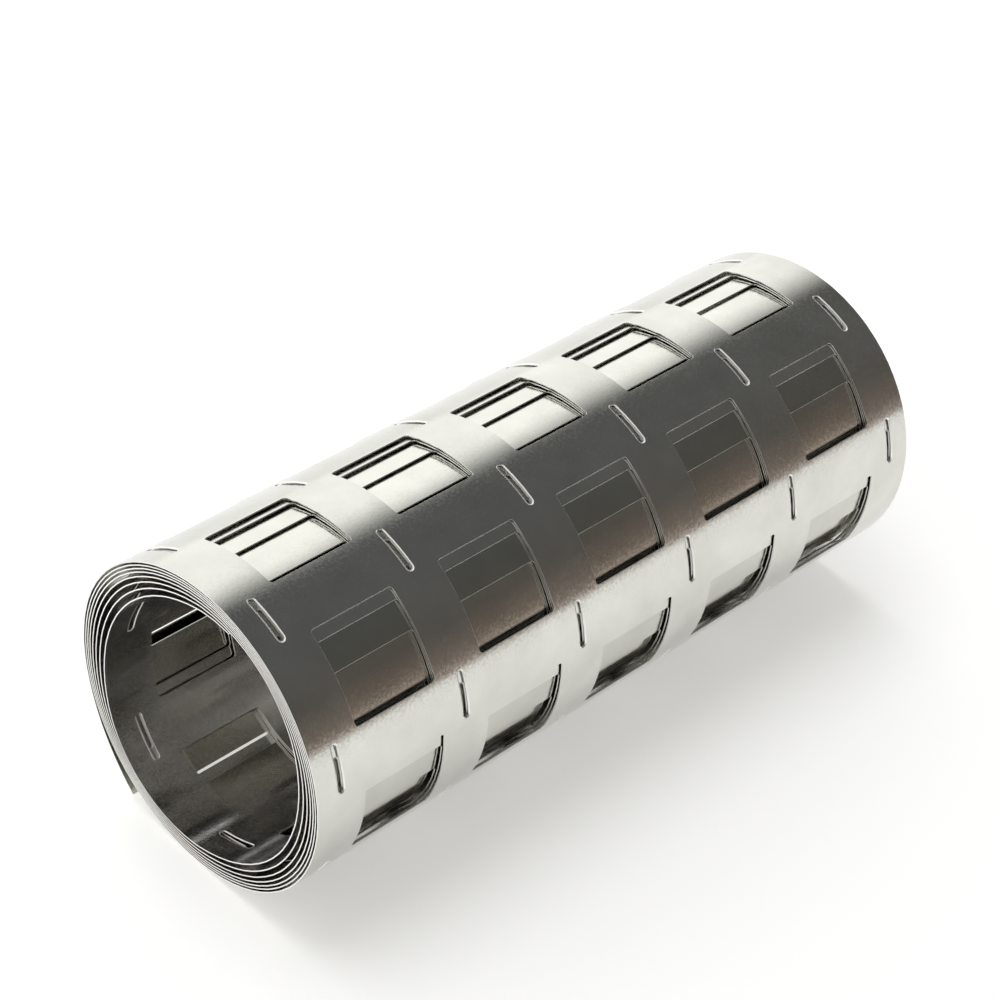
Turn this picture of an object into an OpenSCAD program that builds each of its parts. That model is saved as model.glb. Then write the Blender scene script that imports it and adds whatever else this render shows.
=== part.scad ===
// Punched nickel strip for cell packs, rolled up on its own turns.
// One continuous sheet: rails run along the strip, rungs cross it, a weld slot
// sits in every crossing. All sizes in millimetres.

/* [Strip] */
// Length of the whole strip along its run
strip_length = 987; // [850:1:1100]
// Cell pitch, along the strip and across it
pitch = 20.25; // [18:0.05:23]
// Number of rails side by side
rails = 6; // [3:1:8]
// Width of one rail
rail_w = 7.5; // [5:0.1:10]
// Width of one rung
rung_w = 7.5; // [5:0.1:10]
// Thickness of the sheet
sheet_t = 0.2; // [0.1:0.05:0.25]
// Inner end of the strip to the middle of the first rung
lead_in = 8.7; // [5:0.1:15]

/* [Weld slots] */
// Length of a weld slot, along the strip
slot_len = 6.4; // [3:0.1:8]
// Width of a weld slot
slot_w = 0.7; // [0.4:0.1:1.5]

/* [Roll] */
// Radius of the sheet at the end of the outer turn
outer_r = 22.88; // [20:0.01:26]
// Gain in radius with every turn, at the tips of the oval
turn_gain = 0.27; // [0.2:0.01:0.5]
// Ovalness of the outer turn
oval_all = 0.5; // [0:0.1:1.5]
// Gain in ovalness with every turn inwards
oval_gain = 0.22; // [0:0.01:0.3]
// Further ovalness of the innermost turn
oval = 2; // [0:0.1:4]
// Turns over which the further ovalness fades out
fade_turns = 5; // [2:0.25:7]
// Quarter turns wound before the loose tail
quarters = 30; // [26:1:30]
// Radius of the sprung tail
tail_r = 28; // [23:0.5:32]
// Sweep of the sprung tail, degrees
tail_sweep = 38; // [10:1:60]
// Roll turned about its own axis towards its tail, degrees
turned = 13; // [0:1:20]

/* [Hidden] */
strip_w = (rails - 1) * pitch + rail_w;
clear = 0.03;
deg = 180 / PI;
dirs = [[1, 0], [0, 1], [-1, 0], [0, -1]];

function mils(x) = round(x * 1000) / 1000;

// every quarter turn is one arc; quarters at the two tips of the oval are
// tighter, quarters on its two flanks are flatter
function fade(u) = oval_all + oval_gain * (quarters / 4 - u)
    + oval * pow(max(0, 1 - u / fade_turns), 2);
function tip_r(u) = outer_r - turn_gain * (quarters / 4 - u);
function arc_r(i) =
    let (u = (i + 0.5) / 4)
    mils(i % 2 == 0 ? tip_r(u) - 1.5 * fade(u) : tip_r(u) + 0.5 * fade(u));

R = [for (i = [0 : quarters]) i < quarters ? arc_r(i) : tail_r];

// neighbouring arcs meet on a common normal, so the sheet has no kink
C = [for (i = 0, c = [0, 0]; i <= quarters;
          c = c + (R[i] - R[min(i + 1, quarters)]) * dirs[(i + 1) % 4], i = i + 1)
         [mils(c[0]), mils(c[1])]];

function run(i, n) = i > n ? 0 : R[i] + run(i + 1, n);
wound = run(1, quarters - 1) * PI / 2;
tail_len = tail_r * tail_sweep / deg;
start_a = round((90 - (strip_length - wound - tail_len) / R[0] * deg) * 100) / 100;
first_len = (90 - start_a) / deg * R[0];

// distance along the strip, and normal direction, at the start of arc i
function s0(i) = i == 0 ? 0 : first_len + run(1, i - 1) * PI / 2;
function s1(i) = i == quarters ? s0(i) + tail_len : s0(i + 1);
function a0(i) = i == 0 ? start_a : 90 * (i % 4);
function a1(i) = i == quarters ? a0(i) + tail_sweep : (i == 0 ? 90 : a0(i) + 90);
function ang(i, s) = a0(i) + (s - s0(i)) / R[i] * deg;

rungs = floor((strip_length - lead_in) / pitch) + 1;
function rung_s(k) = lead_in + k * pitch;

// outermost arc of a quadrant, and reach of the roll in a direction
function last_of(q) = quarters - 1 - ((quarters - 1 - q) % 4);
function wrap(a) = a - 360 * floor(a / 360);
function reach(a) =
    let (d = wrap(a), i = last_of(floor(d / 90)))
    C[i][0] * cos(d) + C[i][1] * sin(d) + R[i] + sheet_t / 2;

roll_up = reach(270 - turned);
roll_back = (reach(-turned) - reach(180 - turned)) / 2;

$fn = 180;

// part of arc i between two directions, band from w0 to w1 across the strip;
// every other arc is swept back from its far end
module band(i, b0, b1, w0, w1, extra) {
    back = floor(i / 2) % 2 == 1;
    translate([C[i][0], C[i][1], 0])
        rotate([back ? 180 : 0, 0, 0])
            rotate_extrude(angle = b1 - b0, start = back ? -b1 : b0)
                translate([R[i] - sheet_t / 2 - extra, back ? -w1 : w0])
                    square([sheet_t + 2 * extra, w1 - w0]);
}

// row of openings of one kind between run distances f and g, as far as they
// fall on arc i; past a joint with the next arc the cutter runs on a little
module row(i, f, g, n, w, first) {
    lo = max(f, s0(i) - 0.3);
    hi = min(g, s1(i) + 0.3);
    if (hi > s0(i) && lo < s1(i))
        for (k = [0 : n - 1])
            band(i, ang(i, lo), ang(i, hi),
                 first + k * pitch - w / 2, first + k * pitch + w / 2, clear);
}

// the openings between the rungs, the open ends, and the weld slots
module openings(i) {
    mid = -(rails - 2) * pitch / 2;
    for (k = [-1 : rungs - 1])
        row(i, k < 0 ? -1 : rung_s(k) + rung_w / 2,
            k == rungs - 1 ? strip_length + 1 : rung_s(k + 1) - rung_w / 2,
            rails - 1, pitch - rail_w, mid);
    for (k = [0 : rungs - 1])
        row(i, rung_s(k) - slot_len / 2, rung_s(k) + slot_len / 2,
            rails, slot_w, -(rails - 1) * pitch / 2);
}

module nickel_strip() {
    color([0.72, 0.72, 0.70])
        translate([0, roll_back, roll_up])
            rotate([90, 0, -90])
                rotate([0, 0, turned])
                    union() {
                        for (i = [0 : quarters])
                            difference() {
                                band(i, a0(i), a1(i), -strip_w / 2, strip_w / 2, 0);
                                openings(i);
                            }
                    }
}

nickel_strip();
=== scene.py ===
import math

import bpy
import numpy as np
from mathutils import Matrix, Vector


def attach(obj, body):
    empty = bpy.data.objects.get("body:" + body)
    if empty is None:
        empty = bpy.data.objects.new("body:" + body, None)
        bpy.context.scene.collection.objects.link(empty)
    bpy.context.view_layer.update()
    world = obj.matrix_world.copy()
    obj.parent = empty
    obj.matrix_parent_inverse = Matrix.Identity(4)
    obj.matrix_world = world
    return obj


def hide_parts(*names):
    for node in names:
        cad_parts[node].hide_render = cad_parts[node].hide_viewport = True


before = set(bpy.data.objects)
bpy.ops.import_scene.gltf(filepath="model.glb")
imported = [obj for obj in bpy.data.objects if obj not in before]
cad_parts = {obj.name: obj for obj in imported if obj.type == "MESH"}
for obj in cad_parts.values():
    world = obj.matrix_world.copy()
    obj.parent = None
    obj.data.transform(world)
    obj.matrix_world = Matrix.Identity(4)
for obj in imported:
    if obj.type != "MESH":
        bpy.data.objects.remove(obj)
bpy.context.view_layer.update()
scene = bpy.context.scene
MM = 0.001

# ---------------------------------------------------------------- camera
CAM_AT = Vector((-208.070, -181.566, 257.487)) * MM
CAM_RIGHT = Vector((0.716576, -0.691449, 0.091749))
CAM_UP = Vector((0.391507, 0.507577, 0.767520))
CAM_BACK = Vector((-0.577271, -0.514066, 0.634425))
cam_data = bpy.data.cameras.new("photo_camera")
cam_data.sensor_width = 36.0
cam_data.sensor_fit = "HORIZONTAL"
cam_data.lens = 97.966
cam_data.clip_start = 0.02
cam_data.clip_end = 50.0
cam_data.dof.use_dof = False
camera = bpy.data.objects.new("photo_camera", cam_data)
scene.collection.objects.link(camera)
camera.matrix_world = Matrix((
    (CAM_RIGHT.x, CAM_UP.x, CAM_BACK.x, CAM_AT.x),
    (CAM_RIGHT.y, CAM_UP.y, CAM_BACK.y, CAM_AT.y),
    (CAM_RIGHT.z, CAM_UP.z, CAM_BACK.z, CAM_AT.z),
    (0.0, 0.0, 0.0, 1.0)))
scene.camera = camera
scene.view_settings.view_transform = "Standard"
scene.cycles.glossy_bounces = 12     # the turns and the bore mirror each other many times over

# ---------------------------------------------------------------- the strip's rule, in mm
LENGTH, PITCH, RAILS, RAIL, RUNG, SHEET, LEAD = 987.0, 20.25, 6, 7.5, 7.5, 0.2, 8.7
SLOT_L, SLOT_W = 6.4, 0.7
OUTER_R, GAIN, OVAL_ALL, OVAL_GAIN, OVAL, FADE, QUARTERS = 22.88, 0.27, 0.5, 0.22, 2.0, 5.0, 30
TAIL_R, TAIL_SWEEP, TURNED = 28.0, 38.0, 13.0
CORNER = 0.45        # rounding of the window corners
EDGE = 0.04          # rounding of the cut edges
ROLL_OVER = 0.28     # drawn-in rim round a weld slot, left by the punch
# rings from the flat face to the wall, for the outer and the inner face: share of the way in, depth, tilt of the surface
CUT_RINGS = (((1.0, EDGE, 90.0),), ((1.0, EDGE, 90.0),))
SLOT_RINGS = (((0.08, 0.008, 26.0), (0.55, 0.07, 44.0), (1.0, 0.13, 90.0)),
              ((0.45, 0.016, 30.0), (1.0, 0.05, 90.0)))
HALF = SHEET / 2
WIDE = ((RAILS - 1) * PITCH + RAIL) / 2
RUNGS = int((LENGTH - LEAD) // PITCH) + 1


def arc_rule():
    radii = []
    for i in range(QUARTERS):
        u = (i + 0.5) / 4
        a = OVAL_ALL + OVAL_GAIN * (QUARTERS / 4 - u) + OVAL * max(0.0, 1 - u / FADE) ** 2
        tip = OUTER_R - GAIN * (QUARTERS / 4 - u)
        radii.append(round(tip - 1.5 * a if i % 2 == 0 else tip + 0.5 * a, 3))
    radii.append(TAIL_R)
    dirs = ((1, 0), (0, 1), (-1, 0), (0, -1))
    centres = [np.zeros(2)]
    for i in range(QUARTERS):
        centres.append(np.round(centres[-1] + (radii[i] - radii[i + 1]) * np.array(dirs[(i + 1) % 4], float), 3))
    wound = sum(radii[1:QUARTERS]) * math.pi / 2
    tail = TAIL_R * math.radians(TAIL_SWEEP)
    start = round(90 - math.degrees((LENGTH - wound - tail) / radii[0]), 2)
    runs = [0.0, math.radians(90 - start) * radii[0]]
    for i in range(1, QUARTERS):
        runs.append(runs[-1] + radii[i] * math.pi / 2)
    begin = [start] + [90.0 * i for i in range(1, QUARTERS + 1)]
    return np.array(radii), np.array(centres), np.array(runs), np.array(begin)


ARC_R, ARC_C, ARC_S, ARC_A = arc_rule()


def reach(a):
    d = a % 360
    i = QUARTERS - 1 - ((QUARTERS - 1 - int(d // 90)) % 4)
    return ARC_C[i, 0] * math.cos(math.radians(d)) + ARC_C[i, 1] * math.sin(math.radians(d)) + ARC_R[i] + HALF


ROLL_UP = reach(270 - TURNED)
ROLL_BACK = (reach(-TURNED) - reach(180 - TURNED)) / 2


def on_sheet(s, off):
    """Place in the roll's section and direction of the outer face, at run distance s and height off over the sheet's middle."""
    i = np.clip(np.searchsorted(ARC_S, s, side="right") - 1, 0, QUARTERS)
    a = np.radians(ARC_A[i]) + (s - ARC_S[i]) / ARC_R[i]
    u = ARC_C[i, 0] + (ARC_R[i] + off) * np.cos(a)
    v = ARC_C[i, 1] + (ARC_R[i] + off) * np.sin(a)
    k = math.radians(TURNED)
    y = -(u * math.cos(k) - v * math.sin(k)) + ROLL_BACK
    z = u * math.sin(k) + v * math.cos(k) + ROLL_UP
    return y, z, -np.cos(a + k), np.sin(a + k)


# ---------------------------------------------------------------- flat pattern of the sheet
# stations across the strip; every slab between two stations is a list of strips of metal
stations, slabs = [], []      # station: run distance; slab: [(x_left_low, x_right_low, x_left_high, x_right_high)]
RAIL_X = [(k - (RAILS - 1) / 2) * PITCH for k in range(RAILS)]
GAP_X = [(k - (RAILS - 2) / 2) * PITCH for k in range(RAILS - 1)]
WIN_S, WIN_X = (PITCH - RUNG) / 2, (PITCH - RAIL) / 2
SLOT_R, SLOT_C = SLOT_W / 2, SLOT_L / 2 - SLOT_W / 2
SLOT_STEPS, CORNER_STEPS, SLOT_CUTS, WIN_CUTS = 3, 3, 3, 6


def key(v):
    return round(v, 5)


def cut(lo, hi, holes_lo, holes_hi):
    """Strips of metal from edge to edge between the holes (centre, half width low, half width high)."""
    out, left_lo, left_hi = [], -(WIDE - EDGE), -(WIDE - EDGE)
    for (c, a, b) in zip(lo, holes_lo, holes_hi):
        out.append((left_lo, c - a, left_hi, c - b))
        left_lo, left_hi = c + a, c + b
    out.append((left_lo, WIDE - EDGE, left_hi, WIDE - EDGE))
    return out


def slot_profile():
    """(run distance from the slot's middle, half width) of the eased slot outline."""
    r = SLOT_R + ROLL_OVER
    pts = [(SLOT_C + r * math.sin(q), r * math.cos(q)) for q in np.linspace(0, math.pi / 2, SLOT_STEPS + 1)]
    pts[-1] = (SLOT_C + r, 0.0)
    mid = [(v, r) for v in np.linspace(-SLOT_C, SLOT_C, SLOT_CUTS + 1)[1:-1]]
    return [(-s, w) for s, w in reversed(pts)] + mid + pts


def window_profile():
    r = CORNER + EDGE
    pts = [(WIN_S - CORNER + r * math.sin(q), WIN_X - CORNER + r * math.cos(q)) for q in np.linspace(0, math.pi / 2, CORNER_STEPS + 1)]
    pts[-1] = (WIN_S + EDGE, WIN_X - CORNER)
    mid = [(v, WIN_X + EDGE) for v in np.linspace(-(WIN_S - CORNER), WIN_S - CORNER, WIN_CUTS + 1)[1:-1]]
    return [(-s, w) for s, w in reversed(pts)] + mid + pts


SLOT_P, WIN_P = slot_profile(), window_profile()


def add_rows(profile, s_mid, centres, s_from=None, s_to=None):
    pts = [(s_mid + s, w) for s, w in profile]
    if s_from is not None:
        pts = [(s_from, WIN_X + EDGE)] + [p for p in pts if p[0] > s_from + 1e-6]
    if s_to is not None:
        pts = [p for p in pts if p[0] < s_to - 1e-6] + [(s_to, WIN_X + EDGE)]
    for n, (s, w) in enumerate(pts):
        if stations and abs(stations[-1] - s) < 1e-9:
            continue
        if stations:
            if n == 0:
                slabs.append([(-(WIDE - EDGE), WIDE - EDGE, -(WIDE - EDGE), WIDE - EDGE)])
            else:
                slabs.append(cut(centres, centres, [pts[n - 1][1]] * len(centres), [w] * len(centres)))
        stations.append(s)


first_rung, last_rung = LEAD, LEAD + (RUNGS - 1) * PITCH
# open half windows at the inner end, rungs and windows in turn, open half windows at the outer end
add_rows(WIN_P, first_rung - PITCH / 2, GAP_X, s_from=EDGE)
for k in range(RUNGS):
    add_rows(SLOT_P, LEAD + k * PITCH, RAIL_X)
    if k < RUNGS - 1:
        add_rows(WIN_P, LEAD + (k + 0.5) * PITCH, GAP_X)
add_rows(WIN_P, last_rung + PITCH / 2, GAP_X, s_to=LENGTH - EDGE)

marks = [set() for _ in stations]
for j, slab in enumerate(slabs):
    for a, b, c, d in slab:
        marks[j].update((key(a), key(b)))
        marks[j + 1].update((key(c), key(d)))

# ---------------------------------------------------------------- mesh
flat_s, flat_x, flat_off, flat_n = [], [], [], []     # n: (across, along, out) of the shading normal
flat_cut = []                                          # 1 on the cut edges, 0 on the rolled faces
faces = []
at_point = {}


def vert(s, x, off, n, cut_edge=0.0):
    flat_cut.append(cut_edge)
    flat_s.append(s)
    flat_x.append(x)
    flat_off.append(off)
    flat_n.append(n)
    return len(flat_s) - 1


for j, s in enumerate(stations):
    for x in sorted(marks[j]):
        at_point[(key(s), x)] = (vert(s, x, HALF, (0, 0, 1)), vert(s, x, -HALF, (0, 0, -1)))


def line(j, a, b):
    ka, kb = key(a), key(b)
    return [x for x in sorted(marks[j]) if ka <= x <= kb]


for j, slab in enumerate(slabs):
    s0, s1 = key(stations[j]), key(stations[j + 1])
    for a, b, c, d in slab:
        low, high = line(j, a, b), line(j + 1, c, d)
        if len(low) == 2 and len(high) == 2:
            polys = [[(s0, low[0]), (s0, low[1]), (s1, high[1]), (s1, high[0])]]
        else:
            polys, p, q = [], 0, 0
            span_l, span_h = max(low[-1] - low[0], 1e-9), max(high[-1] - high[0], 1e-9)
            while p < len(low) - 1 or q < len(high) - 1:
                next_l = (low[p + 1] - low[0]) / span_l if p < len(low) - 1 else 9.0
                next_h = (high[q + 1] - high[0]) / span_h if q < len(high) - 1 else 9.0
                if next_l <= next_h:
                    polys.append([(s0, low[p]), (s0, low[p + 1]), (s1, high[q])])
                    p += 1
                else:
                    polys.append([(s0, low[p]), (s1, high[q + 1]), (s1, high[q])])
                    q += 1
        for poly in polys:
            top = [at_point[v][0] for v in poly]
            under = [at_point[v][1] for v in poly]
            faces.append(top)
            faces.append(under[::-1])


def wall(loop, hole, rings):
    """Eased edge and wall round a closed outline: loop has (s, x) on the flat face, (s, x) on the wall, wall normal (across, along)."""
    over, under = rings
    cols = [[] for _ in range(len(over) + len(under) + 2)]
    for (fs, fx), (ws, wx), (nx, ns) in loop:
        first, last = at_point[(key(fs), key(fx))]
        cols[0].append(first)
        cols[-1].append(last)
        for side, part in ((1, over), (-1, under)):
            for j, (share, deep, tilt) in enumerate(part):
                s, x = fs + share * (ws - fs), fx + share * (wx - fx)
                a, b = math.sin(math.radians(tilt)), math.cos(math.radians(tilt))
                cols[1 + j if side > 0 else -2 - j].append(vert(s, x, side * (HALF - deep), (nx * a, ns * a, side * b), min(1.0, 2 * a)))
    n = len(loop)
    for a, b in zip(cols[:-1], cols[1:]):
        for i in range(n):
            m = (i + 1) % n
            quad = [a[i], a[m], b[m], b[i]]
            faces.append(quad if hole else quad[::-1])


def hole_loop(s_mid, x_mid, cs, cx, r, ease, steps, cuts):
    """Rounded outline round (s_mid, x_mid): corner centres at +-cs, +-cx, corner radius r; sides cut into short runs."""
    loop = []
    quarter = np.linspace(0, math.pi / 2, steps + 1)
    side = list(np.linspace(-cs, cs, cuts + 1)[1:-1])

    def point(s_c, x_c, sn, cn):
        f = (s_mid + s_c + (r + ease) * sn, x_mid + x_c + (r + ease) * cn)
        w = (s_mid + s_c + r * sn, x_mid + x_c + r * cn)
        loop.append((f, w, (-cn, -sn)))

    for q in quarter:                                  # +s +x corner, from the side to the end
        point(cs, cx, math.sin(q) if q < 1.57 else 1.0, math.cos(q) if q < 1.57 else 0.0)
    for q in quarter[::-1]:
        if cx == 0 and q > 1.57:
            continue
        point(cs, -cx, math.sin(q) if q < 1.57 else 1.0, -math.cos(q) if q < 1.57 else 0.0)
    for v in side[::-1]:
        point(v, -cx, 0.0, -1.0)
    for q in quarter:
        point(-cs, -cx, -math.sin(q) if q < 1.57 else -1.0, -math.cos(q) if q < 1.57 else 0.0)
    for q in quarter[::-1]:
        if cx == 0 and q > 1.57:
            continue
        point(-cs, cx, -math.sin(q) if q < 1.57 else -1.0, math.cos(q) if q < 1.57 else 0.0)
    for v in side:
        point(v, cx, 0.0, 1.0)
    return loop


for k in range(RUNGS):
    for x in RAIL_X:
        wall(hole_loop(LEAD + k * PITCH, x, SLOT_C, 0.0, SLOT_R, ROLL_OVER, SLOT_STEPS, SLOT_CUTS), True, SLOT_RINGS)
    if k < RUNGS - 1:
        for x in GAP_X:
            wall(hole_loop(LEAD + (k + 0.5) * PITCH, x, WIN_S - CORNER, WIN_X - CORNER, CORNER, EDGE, CORNER_STEPS, WIN_CUTS), True, CUT_RINGS)


def rim_loop():
    """Outline of the whole strip, with the open half windows at both ends; counter-clockwise seen from outside."""
    loop = []
    r = CORNER
    quarter = np.linspace(0, math.pi / 2, CORNER_STEPS + 1)
    cs, cx = WIN_S - CORNER, WIN_X - CORNER
    # along the right-hand edge
    for j, s in enumerate(stations):
        n = (1.0, 0.0)
        w = s
        if j == 0:
            n, w = (0.7071, -0.7071), 0.0
        if j == len(stations) - 1:
            n, w = (0.7071, 0.7071), LENGTH
        loop.append(((s, WIDE - EDGE), (w, WIDE), n))

    def end(mid, sign, order):
        s_end = LENGTH if sign > 0 else 0.0
        inner = [s for s in stations if (s - s_end) * sign > -(abs(s_end - mid) + cs) + 1e-9 and (s - s_end) * sign < -1e-9]
        base = -sign * cs                               # the half window's corners are on its rung's side
        depth = sorted([s for s in stations if (s - (mid + base)) * sign > 1e-6 and (s_end - s) * sign > EDGE + 1e-6], key=lambda v: -v * sign)
        for g in order:
            side = 1.0 if order[0] > order[-1] else -1.0    # the half window is met on this side first
            e = s_end - sign * EDGE
            loop.append(((e, g + side * (WIN_X + EDGE)), (s_end, g + side * WIN_X), (-side * 0.7071, sign * 0.7071)))
            for v in depth:
                loop.append(((v, g + side * (WIN_X + EDGE)), (v, g + side * WIN_X), (-side, 0.0)))
            for q in quarter:
                sn, cn = (math.sin(q), math.cos(q)) if q < 1.57 else (1.0, 0.0)
                loop.append(((mid + base - sign * (r + EDGE) * sn, g + side * (cx + (r + EDGE) * cn)),
                             (mid + base - sign * r * sn, g + side * (cx + r * cn)), (-side * cn, sign * sn)))
            for q in quarter[::-1]:
                sn, cn = (math.sin(q), math.cos(q)) if q < 1.57 else (1.0, 0.0)
                loop.append(((mid + base - sign * (r + EDGE) * sn, g - side * (cx + (r + EDGE) * cn)),
                             (mid + base - sign * r * sn, g - side * (cx + r * cn)), (side * cn, sign * sn)))
            for v in depth[::-1]:
                loop.append(((v, g - side * (WIN_X + EDGE)), (v, g - side * WIN_X), (side, 0.0)))
            loop.append(((e, g - side * (WIN_X + EDGE)), (s_end, g - side * WIN_X), (side * 0.7071, sign * 0.7071)))

    end(last_rung + PITCH / 2, 1.0, GAP_X[::-1])
    for j in range(len(stations) - 1, -1, -1):
        s = stations[j]
        n, w = (-1.0, 0.0), s
        if j == 0:
            n, w = (-0.7071, -0.7071), 0.0
        if j == len(stations) - 1:
            n, w = (-0.7071, 0.7071), LENGTH
        loop.append(((s, -(WIDE - EDGE)), (w, -WIDE), n))
    end(first_rung - PITCH / 2, -1.0, GAP_X)
    return loop


wall(rim_loop(), False, CUT_RINGS)

S, X, OFF = np.array(flat_s), np.array(flat_x), np.array(flat_off)
NORM = np.array(flat_n, float)
Y, Z, NY, NZ = on_sheet(S, OFF)
co = np.stack([X, Y, Z], 1) * MM
# directions in space: across = +X, out = (0, NY, NZ), along = quarter turn on from out
normals = np.stack([NORM[:, 0], NORM[:, 1] * NZ + NORM[:, 2] * NY, -NORM[:, 1] * NY + NORM[:, 2] * NZ], 1)
normals /= np.linalg.norm(normals, axis=1)[:, None]

mesh = bpy.data.meshes.new("rolled_strip")
mesh.from_pydata(co.tolist(), [], faces)
mesh.update()
mesh.polygons.foreach_set("use_smooth", [True] * len(mesh.polygons))
uv = mesh.uv_layers.new(name="along_strip")
corner_v = np.zeros(len(mesh.loops), np.int32)
mesh.loops.foreach_get("vertex_index", corner_v)
uv.data.foreach_set("uv", np.stack([S[corner_v] / 1000.0, (X[corner_v] + WIDE) / 1000.0], 1).ravel().astype(np.float32))
mesh.normals_split_custom_set_from_vertices(normals.tolist())
cut_mark = mesh.attributes.new("cut_edge", "FLOAT", "POINT")
cut_mark.data.foreach_set("value", np.array(flat_cut, np.float32))
strip = bpy.data.objects.new("rolled_strip", mesh)
scene.collection.objects.link(strip)


# ---------------------------------------------------------------- material
def node(tree, kind, x, y, **values):
    n = tree.nodes.new(kind)
    n.location = (x, y)
    for name, value in values.items():
        setattr(n, name, value)
    return n


nickel = bpy.data.materials.new("nickel")
nickel.use_nodes = True
t = nickel.node_tree
t.nodes.clear()
out = node(t, "ShaderNodeOutputMaterial", 900, 0)
bsdf = node(t, "ShaderNodeBsdfPrincipled", 600, 0)
t.links.new(bsdf.outputs["BSDF"], out.inputs["Surface"])
bsdf.inputs["Metallic"].default_value = 1.0
coord = node(t, "ShaderNodeTexCoord", -1100, 0)
# fine mottle of the rolled surface: grains of about a third of a millimetre
grain = node(t, "ShaderNodeTexNoise", -800, -250)
grain.inputs["Scale"].default_value = 2700.0
grain.inputs["Detail"].default_value = 2.0
grain.inputs["Roughness"].default_value = 0.6
t.links.new(coord.outputs["Object"], grain.inputs["Vector"])
# broad cloudy tone
cloud = node(t, "ShaderNodeTexNoise", -800, 150)
cloud.inputs["Scale"].default_value = 160.0
cloud.inputs["Detail"].default_value = 4.0
t.links.new(coord.outputs["Object"], cloud.inputs["Vector"])
tone = node(t, "ShaderNodeValToRGB", -500, 150)
tone.color_ramp.elements[0].position = 0.3
tone.color_ramp.elements[0].color = (0.615, 0.615, 0.578, 1)
tone.color_ramp.elements[1].position = 0.7
tone.color_ramp.elements[1].color = (0.695, 0.695, 0.657, 1)
t.links.new(cloud.outputs["Fac"], tone.inputs["Fac"])
# painted light and shade along the strip's run, from the inner end to the outer: the inner turns round the bore are
# painted brighter, standing in for light inside the bore, and two short stretches further out are painted darker, one
# of them browner, standing in for shade and dark reflections on inner turns seen through the windows, each with a
# painted brighter line just after it
run = node(t, "ShaderNodeUVMap", -1100, 500, uv_map="along_strip")
run_s = node(t, "ShaderNodeSeparateXYZ", -900, 500)
t.links.new(run.outputs["UV"], run_s.inputs["Vector"])
# ramp of painted light and shade by share of the run
run_painted_light = node(t, "ShaderNodeValToRGB", -700, 500)
d = run_painted_light.color_ramp.elements
d[0].position, d[0].color = 0.0, (1.20, 1.19, 1.25, 1)
d[1].position, d[1].color = 1.0, (1.0, 1.0, 1.0, 1)
for at, colour in ((0.20, (1.18, 1.17, 1.22, 1)), (0.30, (1.0, 0.98, 0.96, 1)), (0.484, (0.95, 0.92, 0.89, 1)),
                   (0.504, (0.95, 0.92, 0.89, 1)), (0.510, (1.08, 1.08, 1.07, 1)), (0.60, (1.0, 1.0, 1.0, 1)),
                   (0.628, (0.78, 0.79, 0.76, 1)), (0.646, (0.78, 0.79, 0.76, 1)), (0.652, (1.06, 1.06, 1.05, 1)),
                   (0.72, (1.0, 1.0, 1.0, 1))):
    d.new(at).color = colour
t.links.new(run_s.outputs["X"], run_painted_light.inputs["Fac"])
# the random cloudy tone multiplied by the painted light and shade along the run
tone_and_painted_light = node(t, "ShaderNodeMix", -300, 300, data_type="RGBA", blend_type="MULTIPLY")
tone_and_painted_light.inputs["Factor"].default_value = 1.0
t.links.new(tone.outputs["Color"], tone_and_painted_light.inputs["A"])
t.links.new(run_painted_light.outputs["Color"], tone_and_painted_light.inputs["B"])
# cut edges are fresh, bright, torn metal
edge = node(t, "ShaderNodeAttribute", -500, 400, attribute_name="cut_edge")
bright = node(t, "ShaderNodeMix", -50, 200, data_type="RGBA")
t.links.new(edge.outputs["Fac"], bright.inputs["Factor"])
t.links.new(tone_and_painted_light.outputs["Result"], bright.inputs["A"])
bright.inputs["B"].default_value = (0.95, 0.94, 0.92, 1)
t.links.new(bright.outputs["Result"], bsdf.inputs["Base Color"])
rough = node(t, "ShaderNodeMapRange", -500, -100)
rough.inputs["From Min"].default_value = 0.35
rough.inputs["From Max"].default_value = 0.68
rough.inputs["To Min"].default_value = 0.10
rough.inputs["To Max"].default_value = 0.235
t.links.new(grain.outputs["Fac"], rough.inputs["Value"])
torn = node(t, "ShaderNodeMix", -50, -100)
t.links.new(edge.outputs["Fac"], torn.inputs["Factor"])
t.links.new(rough.outputs["Result"], torn.inputs["A"])
torn.inputs["B"].default_value = 0.42
t.links.new(torn.outputs["Result"], bsdf.inputs["Roughness"])
bump = node(t, "ShaderNodeBump", 250, -300)
bump.inputs["Strength"].default_value = 0.32
bump.inputs["Distance"].default_value = 0.00002
t.links.new(grain.outputs["Fac"], bump.inputs["Height"])
t.links.new(bump.outputs["Normal"], bsdf.inputs["Normal"])
mesh.materials.append(nickel)

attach(strip, "root")
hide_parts("nickel_strip")

# ---------------------------------------------------------------- floor
me = bpy.data.meshes.new("floor")
H = 4.0
me.from_pydata([(-H, -H, 0), (H, -H, 0), (H, H, 0), (-H, H, 0)], [], [(0, 1, 2, 3)])
floor = bpy.data.objects.new("floor", me)
scene.collection.objects.link(floor)
paper = bpy.data.materials.new("floor_paper")
paper.use_nodes = True
pb = paper.node_tree.nodes["Principled BSDF"]
pb.inputs["Base Color"].default_value = (0.80, 0.80, 0.795, 1)
pb.inputs["Roughness"].default_value = 0.9
pb.inputs["Specular IOR Level"].default_value = 0.0
pb.inputs["Emission Color"].default_value = (1.0, 0.995, 0.975, 1)
pb.inputs["Emission Strength"].default_value = 0.38
me.materials.append(paper)

# broad soft light from above and behind, for the floor
key_data = bpy.data.lights.new("key", "SUN")
key_data.energy = 1.05
key_data.angle = math.radians(36.0)
key = bpy.data.objects.new("key", key_data)
scene.collection.objects.link(key)
key.rotation_euler = Vector((0.05, -0.22, -0.97)).to_track_quat("-Z", "Y").to_euler()
key.visible_glossy = False

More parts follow.
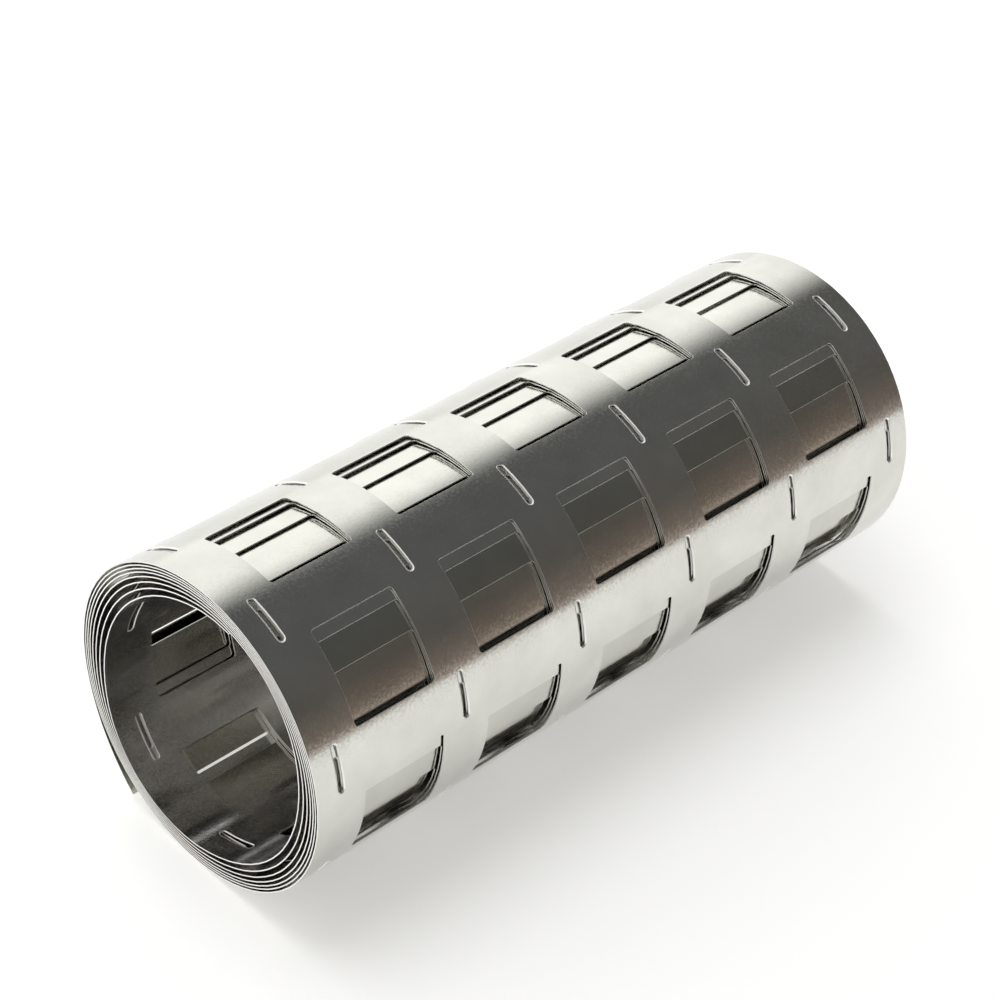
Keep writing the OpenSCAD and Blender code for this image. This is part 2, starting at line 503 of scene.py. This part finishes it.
# ---------------------------------------------------------------- studio: white wall at the back, dark room in front and above
world = bpy.data.worlds.new("studio")
scene.world = world
world.use_nodes = True
w = world.node_tree
w.nodes.clear()
wout = node(w, "ShaderNodeOutputWorld", 900, 0)
back = node(w, "ShaderNodeBackground", 650, 0)
w.links.new(back.outputs["Background"], wout.inputs["Surface"])
wc = node(w, "ShaderNodeTexCoord", -700, 0)
sep = node(w, "ShaderNodeSeparateXYZ", -500, 0)
w.links.new(wc.outputs["Generated"], sep.inputs["Vector"])
room = node(w, "ShaderNodeValToRGB", -150, 200)
e = room.color_ramp.elements
e[0].position, e[0].color = 0.0, (0.36, 0.285, 0.24, 1)
e[1].position, e[1].color = 0.8, (0.115, 0.116, 0.116, 1)
e.new(0.14).color = (0.195, 0.16, 0.137, 1)
e.new(0.40).color = (0.116, 0.107, 0.098, 1)
w.links.new(sep.outputs["Z"], room.inputs["Fac"])
wall_fac = node(w, "ShaderNodeMapRange", -150, -100)
wall_fac.interpolation_type = "SMOOTHSTEP"
wall_fac.inputs["From Min"].default_value = 0.23
wall_fac.inputs["From Max"].default_value = 0.62
w.links.new(sep.outputs["Y"], wall_fac.inputs["Value"])
mix = node(w, "ShaderNodeMix", 150, 0)
mix.data_type = "RGBA"
w.links.new(wall_fac.outputs["Result"], mix.inputs["Factor"])
w.links.new(room.outputs["Color"], mix.inputs["A"])
mix.inputs["B"].default_value = (1.3, 1.3, 1.27, 1)
# white panels over both ends of the roll: a high, wide one past its near end, a narrow one past its far end
far_fac = node(w, "ShaderNodeMapRange", -350, -350)
far_fac.interpolation_type = "SMOOTHSTEP"
far_fac.inputs["From Min"].default_value = 0.80
far_fac.inputs["From Max"].default_value = 0.88
w.links.new(sep.outputs["X"], far_fac.inputs["Value"])
near_fac = node(w, "ShaderNodeMapRange", -350, -600)
near_fac.interpolation_type = "SMOOTHSTEP"
near_fac.inputs["From Min"].default_value = -0.15
near_fac.inputs["From Max"].default_value = -0.40
w.links.new(sep.outputs["X"], near_fac.inputs["Value"])
across = node(w, "ShaderNodeMath", -550, -850, operation="ABSOLUTE")
w.links.new(sep.outputs["Y"], across.inputs[0])
box_fac = node(w, "ShaderNodeMapRange", -350, -850)
box_fac.interpolation_type = "SMOOTHSTEP"
box_fac.inputs["From Min"].default_value = 0.55
box_fac.inputs["From Max"].default_value = 0.30
w.links.new(across.outputs["Value"], box_fac.inputs["Value"])
high_fac = node(w, "ShaderNodeMapRange", -350, -1100)
high_fac.interpolation_type = "SMOOTHSTEP"
high_fac.inputs["From Min"].default_value = 0.32
high_fac.inputs["From Max"].default_value = 0.52
w.links.new(sep.outputs["Z"], high_fac.inputs["Value"])
near_high = node(w, "ShaderNodeMath", -150, -900, operation="MULTIPLY")
w.links.new(near_fac.outputs["Result"], near_high.inputs[0])
w.links.new(high_fac.outputs["Result"], near_high.inputs[1])
both = node(w, "ShaderNodeMath", 0, -600, operation="MAXIMUM")
w.links.new(far_fac.outputs["Result"], both.inputs[0])
w.links.new(near_high.outputs["Value"], both.inputs[1])
side_fac = node(w, "ShaderNodeMath", 150, -450, operation="MULTIPLY")
w.links.new(both.outputs["Value"], side_fac.inputs[0])
w.links.new(box_fac.outputs["Result"], side_fac.inputs[1])
sides = node(w, "ShaderNodeMix", 400, 0)
sides.data_type = "RGBA"
w.links.new(side_fac.outputs["Value"], sides.inputs["Factor"])
w.links.new(mix.outputs["Result"], sides.inputs["A"])
sides.inputs["B"].default_value = (0.98, 0.98, 0.965, 1)
w.links.new(sides.outputs["Result"], back.inputs["Color"])

# ---------------------------------------------------------------- update
scene.view_layers[0].update()
